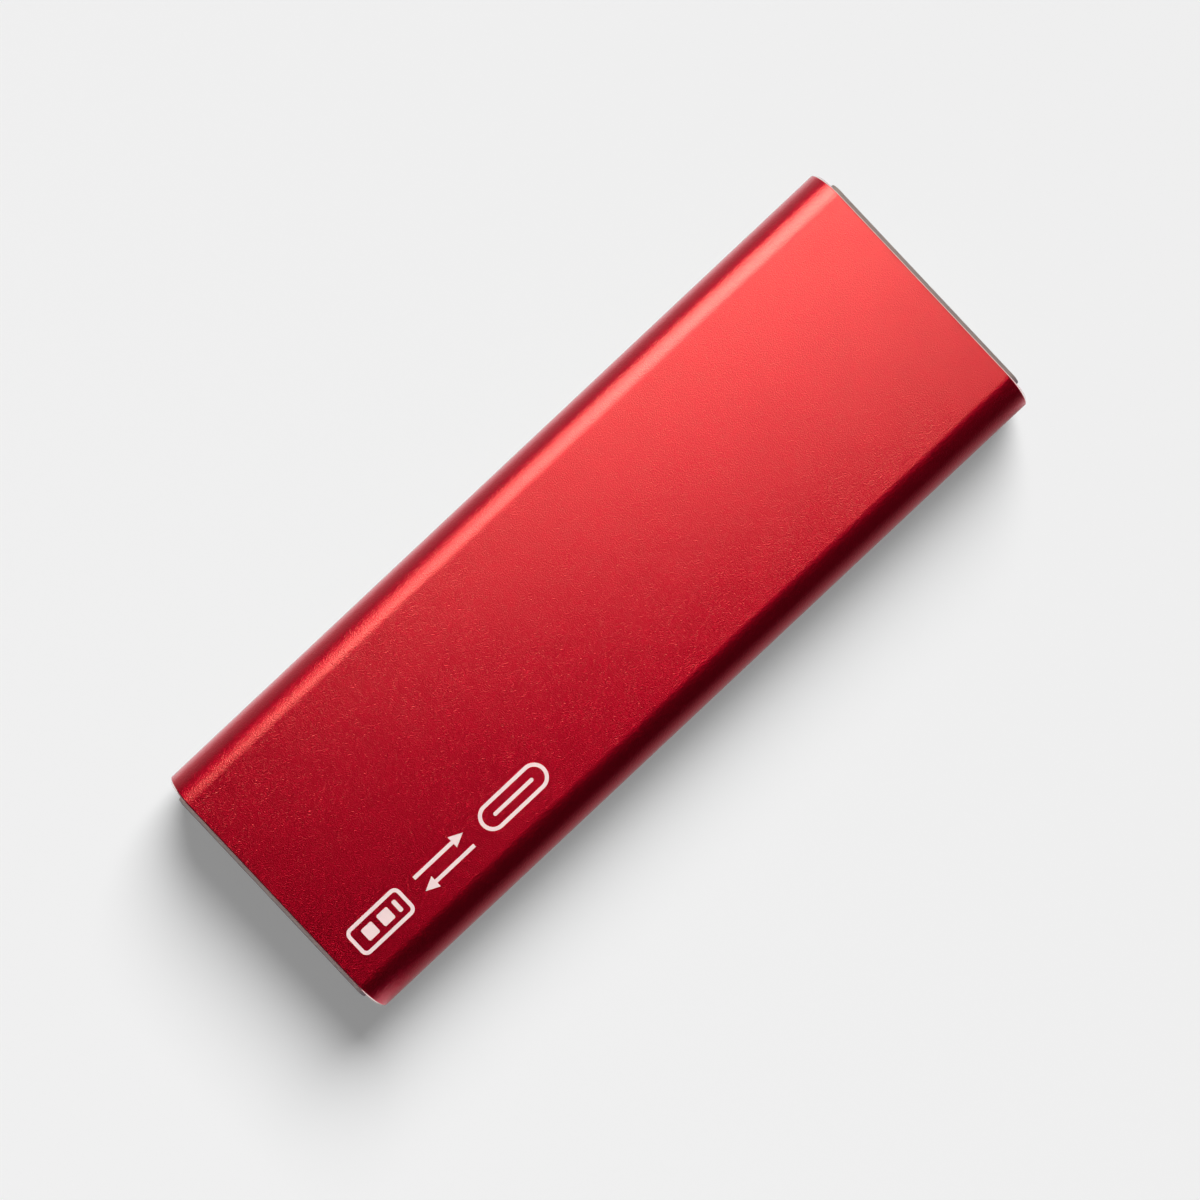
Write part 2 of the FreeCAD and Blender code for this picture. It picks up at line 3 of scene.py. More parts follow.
import bmesh
import bpy
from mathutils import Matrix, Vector


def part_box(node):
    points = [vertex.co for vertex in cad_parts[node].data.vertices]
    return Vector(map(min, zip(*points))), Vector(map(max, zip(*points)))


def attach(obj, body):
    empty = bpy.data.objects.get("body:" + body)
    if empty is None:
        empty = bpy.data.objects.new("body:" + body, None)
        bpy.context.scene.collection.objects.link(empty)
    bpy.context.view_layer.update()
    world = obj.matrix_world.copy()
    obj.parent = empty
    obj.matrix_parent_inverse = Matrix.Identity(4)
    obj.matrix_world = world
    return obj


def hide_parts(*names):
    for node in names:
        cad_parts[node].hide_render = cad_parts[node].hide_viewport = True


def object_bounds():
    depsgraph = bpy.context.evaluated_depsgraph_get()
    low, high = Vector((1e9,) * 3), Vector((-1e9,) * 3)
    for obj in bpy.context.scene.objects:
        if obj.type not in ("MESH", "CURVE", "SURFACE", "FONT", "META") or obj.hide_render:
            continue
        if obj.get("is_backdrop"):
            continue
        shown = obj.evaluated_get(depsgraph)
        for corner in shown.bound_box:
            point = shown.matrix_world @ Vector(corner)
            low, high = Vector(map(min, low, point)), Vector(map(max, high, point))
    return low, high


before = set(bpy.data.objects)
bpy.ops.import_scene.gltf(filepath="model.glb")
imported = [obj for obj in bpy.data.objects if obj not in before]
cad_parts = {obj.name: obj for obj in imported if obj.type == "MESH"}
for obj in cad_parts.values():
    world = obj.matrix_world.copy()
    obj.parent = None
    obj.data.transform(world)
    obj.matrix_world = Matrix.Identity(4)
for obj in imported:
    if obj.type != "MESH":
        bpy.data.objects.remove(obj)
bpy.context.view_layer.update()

MM = 0.001
BODY = "root"

# Sleeve sizes that the frame's boxes don't give
EDGE_RADIUS = 3.65 * MM
RIM_CHAMFER = 0.15 * MM
SIDE_CHAMFER = 0.40 * MM
RIM_ROUNDING = 0.06 * MM
MOUTH_CHAMFER = 0.15 * MM
BORE_RADIUS = 1.2 * MM
ROOF_WALL = 1.5 * MM
SIDE_WALL = 2.2 * MM
RAIL_DEPTH = 1.2 * MM
GROOVE_DEPTH = 1.0 * MM
GROOVE_LOW = 4.6 * MM
GROOVE_HIGH = 5.5 * MM
GROOVE_MARGIN = 0.3 * MM
PLUG_DEPTH = 5.0 * MM

# How finely the sleeve is divided, and the angles in degrees at which an edge is rounded or shaded as sharp
ARC_STEPS = 28
RIM_SEGMENTS = 2
ROUND_PROFILE = 0.5
RIM_EDGE_ANGLE = 30
SHARP_ANGLE = 35
RED_INDEX = 0
RIM_INDEX = 1

# Print on the top face: a row of plain pictograms
PRINT_START = -43.9 * MM
PRINT_MIDDLE = -9.6 * MM
PRINT_STROKE = 0.42 * MM
PRINT_FILM = 0.006 * MM
PRINT_GAP = 1.9 * MM
PRINT_ARC_STEPS = 10

# First pictogram, a drive: its case, two chips and a plug, placed from the case's middle
DRIVE_MARK_LENGTH = 7.4 * MM
DRIVE_MARK_HEIGHT = 3.5 * MM
DRIVE_MARK_RADIUS = 0.8 * MM
CHIP_MARK_SIZE = 1.5 * MM
CHIP_MARK_RADIUS = 0.2 * MM
CHIP_MARK_PLACES = (-1.45 * MM, 0.75 * MM)
PLUG_MARK_LENGTH = 0.5 * MM
PLUG_MARK_PLACE = 2.4 * MM

# Second pictogram, data both ways: two arrows
ARROW_MARK_LENGTH = 7.0 * MM
ARROW_MARK_OFFSET = 0.9 * MM
ARROW_HEAD_LENGTH = 1.5 * MM
ARROW_HEAD_REACH = 0.72 * MM

# Third pictogram, a port: its mouth and its tongue
PORT_MARK_LENGTH = 9.0 * MM
PORT_MARK_HEIGHT = 3.1 * MM
TONGUE_MARK_LENGTH = 5.6 * MM

# Spans of noise from 0 to 1: all of it, the part where most of it lies, and the part that flecks go through
WHOLE_SPAN = (0.0, 1.0)
NOISE_SPAN = (0.30, 0.70)
FLECK_SPAN = (0.35, 0.65)

# Red finish of the sleeve: fine grain from hollows to crests over slow clouds, in linear colours, with a
# darker red in the hollows that is painted shade
GRAIN_SIZE = 0.115 * MM
GRAIN_DETAIL = 0.0
GRAIN_SPAN = (0.28, 0.72)
GRAIN_RELIEF = 0.0283 * MM
COAT_RELIEF = 0.0199 * MM
CLOUD_SIZE = 1.8 * MM
CLOUD_DETAIL = 3.0
CLOUD_RELIEF = 0.010 * MM
# Painted shade: the reds in the grain's hollows are darker than on its crests
SHADED_HOLLOW_REDS = ((0.665, 0.0004, 0.0345, 1), (0.705, 0.0004, 0.0367, 1))
CREST_REDS = ((0.710, 0.0006, 0.0400, 1), (0.750, 0.0006, 0.0422, 1))
RED_ROUGHNESS = (0.37, 0.40)
COAT_ROUGHNESS = 0.16
COAT_IOR = 1.72

# Bright cut rims, with turning marks round the drive and colours in screen values from 0 to 255
RIM_COLOURS = ((226, 214, 212), (244, 236, 233))
RIM_GRAIN = 0.05 * MM
RIM_DETAIL = 2.0
RIM_STRETCH = (1, 12, 12)
RIM_ROUGHNESS = (0.12, 0.22)
RIM_RELIEF = 0.001 * MM

# Grey plastic of the caps, in linear colours, with a pink cast that is painted red light thrown back from
# the sleeve
CAP_GREYS_AND_RED_BOUNCE = ((0.220, 0.181, 0.196, 1), (0.255, 0.209, 0.224, 1))
CAP_CLOUD_SIZE = 3.0 * MM
CAP_CLOUD_DETAIL = 1.0
CAP_GRAIN = 0.12 * MM
CAP_DETAIL = 3.0
CAP_ROUGHNESS = (0.46, 0.60)
CAP_RELIEF = 0.006 * MM
CAP_IOR = 1.5

# Cream ink of the print, in linear colours
INK_COLOURS = ((0.97, 0.745, 0.845, 1), (0.99, 0.785, 0.885, 1))
INK_GRAIN = 0.15 * MM
INK_DETAIL = 3.0
INK_ROUGHNESS = (0.50, 0.65)
INK_RELIEF = 0.001 * MM

# Frosted clear resin of the light pipe, in linear colours
PIPE_COLOURS = ((0.80, 0.83, 0.86, 1), (0.93, 0.94, 0.95, 1))
PIPE_GRAIN = 0.06 * MM
PIPE_DETAIL = 3.0
PIPE_ROUGHNESS = (0.28, 0.42)
PIPE_RELIEF = 0.002 * MM
PIPE_IOR = 1.49
PIPE_CLEARNESS = 0.55

# Circuit board, in screen colours: lacquer over traces that run along X in patches, and woven laminate
# at its edges
LACQUER_GREENS = ((20, 66, 44), (34, 92, 58))
LAMINATE_COLOURS = ((150, 140, 92), (176, 166, 116))
LACQUER_DEPTH = 0.01 * MM
BOARD_IOR = 1.5
BOARD_ROUGHNESS = (0.24, 0.38)
TRACE_HALF_PITCH = 0.35 * MM
TRACE_HALF_WIDTH = 0.09 * MM
TRACE_RELIEF = 0.02 * MM
PATCH_SIZE = 6.0 * MM
PATCH_DETAIL = 0.0
PATCH_LEVEL = 0.5
WEAVE_SIZE = 0.3 * MM
WEAVE_DETAIL = 2.0
WEAVE_STRETCH = (1, 4, 1)

# Plated steel with drawing lines along X: darker and lighter screen colour, and width of the lines
DRAWN_FINISHES = {
    "port_steel": ((172, 172, 171), (205, 205, 203), 0.04 * MM),
    "screw_steel": ((150, 150, 150), (190, 190, 188), 0.08 * MM),
    "crystal_can": ((180, 176, 166), (212, 208, 198), 0.04 * MM),
}
DRAWN_DETAIL = 2.0
DRAWN_STRETCH = (30, 1, 1)
DRAWN_ROUGHNESS = (0.20, 0.34)
DRAWN_RELIEF = 0.001 * MM

# Speckled small parts: darker and lighter screen colour, size of the grain, lowest and highest roughness,
# depth of the relief, and 1 for a metal
SPECKLED_FINISHES = {
    "tongue_resin": ((22, 22, 24), (34, 34, 36), 0.08 * MM, (0.30, 0.45), 0.002 * MM, 0),
    "contact_gold": ((206, 160, 78), (236, 194, 104), 0.10 * MM, (0.16, 0.30), 0.001 * MM, 1),
    "chip_epoxy": ((30, 30, 32), (46, 46, 49), 0.06 * MM, (0.42, 0.60), 0.004 * MM, 0),
    "coil_ferrite": ((66, 64, 63), (96, 94, 92), 0.10 * MM, (0.50, 0.70), 0.006 * MM, 0),
    "bulk_resin": ((170, 124, 54), (196, 148, 72), 0.15 * MM, (0.40, 0.55), 0.004 * MM, 0),
    "ceramic_body": ((146, 112, 78), (176, 140, 102), 0.06 * MM, (0.40, 0.55), 0.002 * MM, 0),
    "resistor_body": ((26, 26, 28), (44, 44, 46), 0.06 * MM, (0.30, 0.50), 0.002 * MM, 0),
    "pad_silicone": ((88, 118, 150), (112, 142, 172), 0.20 * MM, (0.60, 0.80), 0.010 * MM, 0),
    "led_body": ((222, 218, 204), (240, 238, 228), 0.10 * MM, (0.30, 0.45), 0.002 * MM, 0),
}
SPECKLE_DETAIL = 4.0

# Which CAD pieces take which finish
CAPS = ("port_end_cap", "rear_end_cap")
FINISHED_NODES = {
    "cap_plastic": CAPS,
    "port_steel": ("usb_c_shell", "usb_c_latch_plate"),
    "tongue_resin": ("usb_c_tongue",),
    "contact_gold": ("usb_c_contacts",),
    "light_pipe_resin": ("light_pipe",),
    "led_body": ("status_led",),
    "solder_mask": ("circuit_board",),
    "screw_steel": ("board_screws",),
    "crystal_can": ("clock_crystal",),
    "coil_ferrite": ("power_inductors",),
    "bulk_resin": ("bulk_capacitors",),
    "ceramic_body": ("ceramic_capacitors",),
    "resistor_body": ("chip_resistors",),
    "pad_silicone": ("controller_thermal_pad", "upper_flash_thermal_pad", "lower_flash_thermal_pad"),
    "chip_epoxy": (
        "controller_chip", "firmware_chip", "surge_protector", "power_regulator",
        "flash_chip_1", "flash_chip_2", "flash_chip_3", "flash_chip_4",
    ),
}

# Camera, straight above the drive
CAMERA_TURN = -43.2
CAMERA_PLACE = (-0.57 * MM, -0.82 * MM, 360 * MM)
CAMERA_LENS = 100.7
CAMERA_SENSOR = 36
CAMERA_NEAR = 10 * MM

# Softbox that lights the drive, and its brighter core
SOFTBOX_AZIMUTH = 60.8
SOFTBOX_ZENITH = 35.2
SOFTBOX_DISTANCE = 280 * MM
SOFTBOX_WIDTH = 236 * MM
SOFTBOX_LENGTH = 268 * MM
SOFTBOX_RADIANCE = 3.4
SOFTBOX_COLOUR = (1.0, 0.95, 0.62)
CORE_AZIMUTH = 58
CORE_SIZE = 120 * MM
CORE_RADIANCE = 1.9

# Overhead fill, which reaches matt surfaces only
FILL_HEIGHT = 500 * MM
FILL_SIZE = 300 * MM
FILL_RADIANCE = 2.75
FILL_COLOUR = (0.75, 0.72, 1.0)

# Dim kicker beyond the port end, low on the shaded side, which shows on the top in views from behind
KICKER_AZIMUTH = -38
KICKER_ZENITH = 65
KICKER_DISTANCE = 420 * MM
KICKER_WIDTH = 260 * MM
KICKER_LENGTH = 140 * MM
KICKER_RADIANCE = 0.7
KICKER_COLOUR = (1.0, 0.82, 0.76)

# Even light on the floor, which throws the shadow
SHADE_DIRECTION = (1.085, 0.645, 1.0)
SHADE_SPREAD = 41
SHADE_STRENGTH = 4.51

# Floor and room, with sizes in metres
FLOOR_SIZE = 6.0
FLOOR_SEGMENTS = 96
FLOOR_GAP = 0.02 * MM
FLOOR_TONE = 0.70
FLOOR_GLOW = 0.259
BACKDROP_TONE = 0.871
BACKDROP_HEIGHT = 0.6
BACKDROP_RISE = 0.8
ROOM_TONE = 0.006
BLACK = (0, 0, 0, 1)
WHITE = (1, 1, 1, 1)

# Glowing cards round the drive's sides, seen only as reflections in it, with the tones at their foot and
# their top: the dark cards are painted shade in the reflections of the shaded sides, the pale card a painted
# reflection, dimmer than the backdrop, by the lit side
CARD_REACH = 14 * MM
CARD_HEIGHT = 16 * MM
CARD_FOOT = 12 * MM
# Painted shade in the reflections of the shaded side and end
SHADE_REFLECTION_TONES = (0.30, 0.005)
SHADE_REFLECTION_FADE = 12.5 * MM
SHADE_REFLECTION_COLOUR = (1.0, 0.80, 0.80, 1)
# Painted reflection by the lit side, dimmer than the backdrop
LIT_SIDE_REFLECTION_TONES = (0.60, 0.11)
LIT_SIDE_REFLECTION_FADE = 16 * MM
LIT_SIDE_REFLECTION_COLOUR = (1.0, 0.90, 0.84, 1)


def srgb(red, green, blue):
    """A colour written as 0 to 255 screen values, as the linear numbers that shaders take."""
    linear = []
    for value in (red / 255, green / 255, blue / 255):
        if value <= 0.04045:
            linear.append(value / 12.92)
        else:
            linear.append(((value + 0.055) / 1.055) ** 2.4)
    return (*linear, 1.0)


class Finish:
    """A material in the making, with short ways to add procedural detail in the drive's own coordinates."""

    def __init__(self, name, **settings):
        """Starts from the plain shader, with the sockets named in settings set to their values."""
        self.material = bpy.data.materials.new(name)
        self.material.use_nodes = True
        self.nodes = self.material.node_tree.nodes
        self.links = self.material.node_tree.links
        self.shader = self.nodes["Principled BSDF"]
        self.place = self.nodes.new("ShaderNodeTexCoord").outputs["Object"]
        for socket, value in settings.items():
            self.shader.inputs[socket.replace("_", " ")].default_value = value

    def noise(self, grain, detail, stretch=(1, 1, 1)):
        """Noise from 0 to 1 with grains of that size, drawn out along the axes by stretch."""
        mapping = self.nodes.new("ShaderNodeMapping")
        mapping.inputs["Scale"].default_value = [1 / (grain * part) for part in stretch]
        self.links.new(self.place, mapping.inputs["Vector"])
        texture = self.nodes.new("ShaderNodeTexNoise")
        texture.inputs["Scale"].default_value = 1.0
        texture.inputs["Detail"].default_value = detail
        self.links.new(mapping.outputs["Vector"], texture.inputs["Vector"])
        return texture.outputs["Fac"]

    def axis(self, name):
        """One coordinate of the drive's frame, in metres."""
        split = self.nodes.new("ShaderNodeSeparateXYZ")
        self.links.new(self.place, split.inputs["Vector"])
        return split.outputs[name]

    def math(self, operation, first, second=None):
        """A math node on sockets or numbers."""
        node = self.nodes.new("ShaderNodeMath")
        node.operation = operation
        for socket, value in zip(node.inputs, (first, second)):
            if isinstance(value, (int, float)):
                socket.default_value = value
            elif value is not None:
                self.links.new(value, socket)
        return node.outputs["Value"]

    def fit(self, value, low, high, to_low=0.0, to_high=1.0):
        """Maps the span from low to high onto another span, held at its ends."""
        node = self.nodes.new("ShaderNodeMapRange")
        ends = {"From Min": low, "From Max": high, "To Min": to_low, "To Max": to_high}
        for socket, number in ends.items():
            node.inputs[socket].default_value = number
        self.links.new(value, node.inputs["Value"])
        return node.outputs["Result"]

    def mix(self, share, first, second):
        """A colour between two colours or colour sockets."""
        node = self.nodes.new("ShaderNodeMix")
        node.data_type = "RGBA"
        self.links.new(share, node.inputs["Factor"])
        colours = [socket for socket in node.inputs if socket.type == "RGBA"]
        for socket, value in zip(colours, (first, second)):
            if isinstance(value, tuple):
                socket.default_value = value
            else:
                self.links.new(value, socket)
        return [socket for socket in node.outputs if socket.type == "RGBA"][0]

    def feed(self, socket, value):
        """Feeds a shader input from a socket."""
        self.links.new(value, self.shader.inputs[socket])

    def roughen(self, noise, roughness):
        """Roughness that follows a noise, from the lowest value to the highest."""
        self.feed("Roughness", self.fit(noise, *NOISE_SPAN, *roughness))

    def bump(self, height, depth, under=None, socket="Normal"):
        """Relief of that depth in metres, on top of another bump if one is given."""
        node = self.nodes.new("ShaderNodeBump")
        node.inputs["Strength"].default_value = 1.0
        node.inputs["Distance"].default_value = depth
        self.links.new(height, node.inputs["Height"])
        if under is not None:
            self.links.new(under, node.inputs["Normal"])
        self.feed(socket, node.outputs["Normal"])
        return node.outputs["Normal"]

    def vary(self, colours, noise, roughness, relief, span=WHOLE_SPAN):
        """Lets colour, gloss and relief follow one noise, and gives the material."""
        self.feed("Base Color", self.mix(self.fit(noise, *span), *colours))
        self.roughen(noise, roughness)
        self.bump(noise, relief)
        return self.material


def red_anodised():
    """Bead-blasted aluminium under a deep red dye, with a clear sealed skin."""
    coat = {"Coat_Weight": 1.0, "Coat_Roughness": COAT_ROUGHNESS, "Coat_IOR": COAT_IOR}
    finish = Finish("red_anodised", Metallic=1.0, **coat)
    grain = finish.noise(GRAIN_SIZE, GRAIN_DETAIL)
    cloud = finish.noise(CLOUD_SIZE, CLOUD_DETAIL)
    shaded_hollow = finish.mix(cloud, *SHADED_HOLLOW_REDS)
    crest = finish.mix(cloud, *CREST_REDS)
    # Painted shade: the red is darker where the grain's relief is low
    finish.feed("Base Color", finish.mix(finish.fit(grain, *GRAIN_SPAN), shaded_hollow, crest))
    finish.roughen(grain, RED_ROUGHNESS)
    clouded = finish.bump(cloud, CLOUD_RELIEF)
    finish.bump(grain, GRAIN_RELIEF, clouded)
    finish.bump(grain, COAT_RELIEF, clouded, "Coat Normal")
    return finish.material


def bright_rim():
    """The rims where a diamond tool has cut the dye away."""
    finish = Finish("bright_rim", Metallic=1.0)
    turning = finish.noise(RIM_GRAIN, RIM_DETAIL, RIM_STRETCH)
    colours = [srgb(*colour) for colour in RIM_COLOURS]
    return finish.vary(colours, turning, RIM_ROUGHNESS, RIM_RELIEF)


def cap_plastic():
    """Grey moulded plastic with a fine spark-eroded texture."""
    finish = Finish("cap_plastic", IOR=CAP_IOR)
    grain = finish.noise(CAP_GRAIN, CAP_DETAIL)
    cloud = finish.noise(CAP_CLOUD_SIZE, CAP_CLOUD_DETAIL)
    # Painted bounce light: the greys carry a pink cast from the red sleeve
    finish.feed("Base Color", finish.mix(cloud, *CAP_GREYS_AND_RED_BOUNCE))
    finish.roughen(grain, CAP_ROUGHNESS)
    finish.bump(grain, CAP_RELIEF)
    return finish.material


def print_ink():
    """Cream ink, a little uneven where it was screened on."""
    finish = Finish("print_ink")
    mottle = finish.noise(INK_GRAIN, INK_DETAIL)
    return finish.vary(INK_COLOURS, mottle, INK_ROUGHNESS, INK_RELIEF)


def light_pipe_resin():
    """Frosted clear resin."""
    finish = Finish("light_pipe_resin", IOR=PIPE_IOR, Transmission_Weight=PIPE_CLEARNESS)
    frost = finish.noise(PIPE_GRAIN, PIPE_DETAIL)
    return finish.vary(PIPE_COLOURS, frost, PIPE_ROUGHNESS, PIPE_RELIEF)


def solder_mask():
    """Green lacquer over copper traces, with bare glass laminate at the board's edges."""
    low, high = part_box("circuit_board")
    middle = (low.z + high.z) / 2
    face = (high.z - low.z) / 2 - LACQUER_DEPTH
    finish = Finish("solder_mask", IOR=BOARD_IOR)
    level = finish.math("ABSOLUTE", finish.math("SUBTRACT", finish.axis("Z"), middle))
    on_face = finish.math("GREATER_THAN", level, face)
    lanes = finish.math("PINGPONG", finish.axis("Y"), TRACE_HALF_PITCH)
    trace = finish.math("LESS_THAN", lanes, TRACE_HALF_WIDTH)
    patch = finish.math("GREATER_THAN", finish.noise(PATCH_SIZE, PATCH_DETAIL), PATCH_LEVEL)
    copper = finish.math("MULTIPLY", trace, patch)
    lacquer = finish.mix(copper, *(srgb(*colour) for colour in LACQUER_GREENS))
    weave = finish.noise(WEAVE_SIZE, WEAVE_DETAIL, WEAVE_STRETCH)
    laminate = finish.mix(weave, *(srgb(*colour) for colour in LAMINATE_COLOURS))
    finish.feed("Base Color", finish.mix(on_face, laminate, lacquer))
    finish.roughen(weave, BOARD_ROUGHNESS)
    finish.bump(copper, TRACE_RELIEF)
    return finish.material


def drawn(name, dark, light, grain):
    """Plated steel with drawing lines along X."""
    finish = Finish(name, Metallic=1.0)
    lines = finish.noise(grain, DRAWN_DETAIL, DRAWN_STRETCH)
    return finish.vary((srgb(*dark), srgb(*light)), lines, DRAWN_ROUGHNESS, DRAWN_RELIEF)


def speckled(name, dark, light, grain, roughness, relief, metal):
    """A body whose colour and gloss vary from grain to grain."""
    finish = Finish(name, Metallic=metal)
    fleck = finish.noise(grain, SPECKLE_DETAIL)
    return finish.vary((srgb(*dark), srgb(*light)), fleck, roughness, relief, FLECK_SPAN)


def section(half_width, low, high, radius, side_points):
    """A rounded outline in the YZ plane with extra points down each side, from its upper corner round."""
    corners = (
        (half_width - radius, high - radius, 90, 0),
        (half_width - radius, low + radius, 0, -90),
        (radius - half_width, low + radius, -90, -180),
        (radius - half_width, high - radius, 180, 90),
    )
    points = []
    for index, (centre_y, centre_z, start, end) in enumerate(corners):
        for step in range(ARC_STEPS + 1):
            angle = math.radians(start + (end - start) * step / ARC_STEPS)
            points.append((centre_y + radius * math.cos(angle), centre_z + radius * math.sin(angle)))
        if index == 0:
            points.extend(side_points)
        if index == 2:
            points.extend((-y, z) for y, z in reversed(side_points))
    return points


def straight_side(half_width):
    """Points on a plain side wall that answer to the corners of the board groove."""
    levels = (GROOVE_HIGH + GROOVE_MARGIN, GROOVE_HIGH, GROOVE_LOW, GROOVE_LOW - GROOVE_MARGIN)
    return [(half_width, level) for level in levels]


def new_piece(name, builder, materials, slot, *nodes):
    """An object made from a finished bmesh, riding on the drive's body."""
    mesh = bpy.data.meshes.new(name)
    builder.normal_update()
    builder.to_mesh(mesh)
    builder.free()
    piece = bpy.data.objects.new(name, mesh)
    bpy.context.scene.collection.objects.link(piece)
    for material in materials:
        mesh.materials.append(material)
    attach(piece, BODY)
    if nodes:
        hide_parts(*nodes)
    return piece


def smooth_piece(piece):
    """Smooth shading that breaks at sharp edges and keeps flat faces flat."""
    piece.data.shade_smooth()
    piece.data.set_sharp_from_angle(angle=math.radians(SHARP_ANGLE))
    modifier = piece.modifiers.new("flat_faces", "WEIGHTED_NORMAL")
    modifier.keep_sharp = True


def sleeve_rings():
    """The sleeve's outlines in the order of its skin: over one end, through the bore, over the other."""
    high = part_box("sleeve")[1]
    half_width = high.y
    thickness = high.z
    middle = thickness / 2
    end = high.x
    shoulder = end - PLUG_DEPTH
    mouth = half_width - SIDE_WALL
    rail = mouth - RAIL_DEPTH
    groove = rail + GROOVE_DEPTH
    bottom = ROOF_WALL
    top = thickness - ROOF_WALL

    def opening(spread):
        """The mouth's outline, wider by spread all round."""
        side = straight_side(mouth + spread)
        return section(mouth + spread, bottom - spread, top + spread, BORE_RADIUS + spread, side)

    def broken_edge(y, z):
        """Width of the bright rim at a point of the outside, and the way outward there."""
        out_y = max(0.0, abs(y) - (half_width - EDGE_RADIUS)) / EDGE_RADIUS
        out_z = max(0.0, abs(z - middle) - (middle - EDGE_RADIUS)) / EDGE_RADIUS
        width = RIM_CHAMFER + (SIDE_CHAMFER - RIM_CHAMFER) * out_y ** 2
        return width, math.copysign(out_y, y), math.copysign(out_z, z - middle)

    rim_start = []
    rim_end = []
    for y, z in section(half_width, 0, thickness, EDGE_RADIUS, straight_side(half_width)):
        width, out_y, out_z = broken_edge(y, z)
        rim_start.append((end - width, y, z))
        rim_end.append((end, y - out_y * width, z - out_z * width))
    groove_side = [(rail, GROOVE_HIGH), (groove, GROOVE_HIGH), (groove, GROOVE_LOW), (rail, GROOVE_LOW)]
    half = [rim_start, rim_end]
    for outline, x in (
        (opening(MOUTH_CHAMFER), end),
        (opening(0), end - MOUTH_CHAMFER),
        (opening(0), shoulder),
        (section(rail, bottom, top, BORE_RADIUS, groove_side), shoulder),
    ):
        half.append([(x, y, z) for y, z in outline])
    return half + [[(-x, y, z) for x, y, z in ring] for ring in reversed(half)]


def sleeve():
    """The extrusion as one closed skin: outside, bright rims, mouths, shoulders and the grooved bore.
    It throws no light back on the floor."""
    builder = bmesh.new()
    loops = [[builder.verts.new(point) for point in ring] for ring in sleeve_rings()]
    rim_bands = (0, len(loops) - 2)
    for band, first in enumerate(loops):
        second = loops[(band + 1) % len(loops)]
        for index in range(len(first)):
            after = (index + 1) % len(first)
            face = builder.faces.new((first[index], second[index], second[after], first[after]))
            if band in rim_bands:
                face.material_index = RIM_INDEX
    bmesh.ops.recalc_face_normals(builder, faces=builder.faces)
    rim_edges = []
    for edge in builder.edges:
        on_rim = any(face.material_index == RIM_INDEX for face in edge.link_faces)
        if on_rim and edge.calc_face_angle(0) > math.radians(RIM_EDGE_ANGLE):
            rim_edges.append(edge)
    bmesh.ops.bevel(
        builder, geom=rim_edges, offset=RIM_ROUNDING, offset_type="OFFSET", segments=RIM_SEGMENTS,
        profile=ROUND_PROFILE, affect="EDGES", clamp_overlap=True, material=RED_INDEX,
    )
    piece = new_piece("sleeve_skin", builder, (red_anodised(), bright_rim()), "red_anodised", "sleeve")
    smooth_piece(piece)
    piece.visible_diffuse = False


def ring_faces(builder, outside, inside):
    """A flat band between two outlines with as many points each."""
    outer = [builder.verts.new(point) for point in outside]
    inner = [builder.verts.new(point) for point in inside]
    for index in range(len(outer)):
        after = (index + 1) % len(outer)
        builder.faces.new((outer[index], outer[after], inner[after], inner[index]))


def plate_outline(centre_x, length, height, radius, level):
    """A rounded rectangle in a level plane, on the print's middle line."""
    points = []
    reach_x = length / 2 - radius
    reach_y = height / 2 - radius
    for quarter, (turn_x, turn_y) in enumerate(((1, 1), (-1, 1), (-1, -1), (1, -1))):
        for step in range(PRINT_ARC_STEPS + 1):
            angle = math.radians(90 * quarter + 90 * step / PRINT_ARC_STEPS)
            x = centre_x + turn_x * reach_x + radius * math.cos(angle)
            y = PRINT_MIDDLE + turn_y * reach_y + radius * math.sin(angle)
            points.append((x, y, level))
    return points


def outlined_plate(builder, centre_x, length, height, radius, level):
    """The stroke of a rounded rectangle."""
    both = 2 * PRINT_STROKE
    outside = plate_outline(centre_x, length, height, radius, level)
    inside = plate_outline(centre_x, length - both, height - both, radius - PRINT_STROKE, level)
    ring_faces(builder, outside, inside)


def filled_plate(builder, centre_x, length, height, radius, level):
    """A filled rounded rectangle."""
    outline = plate_outline(centre_x, length, height, radius, level)
    builder.faces.new([builder.verts.new(point) for point in outline])


def arrow(builder, tail_x, tip_x, centre_y, level):
    """A straight arrow along X."""
    way = 1 if tip_x > tail_x else -1
    neck = tip_x - way * ARROW_HEAD_LENGTH
    half = PRINT_STROKE / 2
    outline = [
        (tail_x, -half), (neck, -half), (neck, -ARROW_HEAD_REACH), (tip_x, 0),
        (neck, ARROW_HEAD_REACH), (neck, half), (tail_x, half),
    ]
    builder.faces.new([builder.verts.new((x, centre_y + y, level)) for x, y in outline])


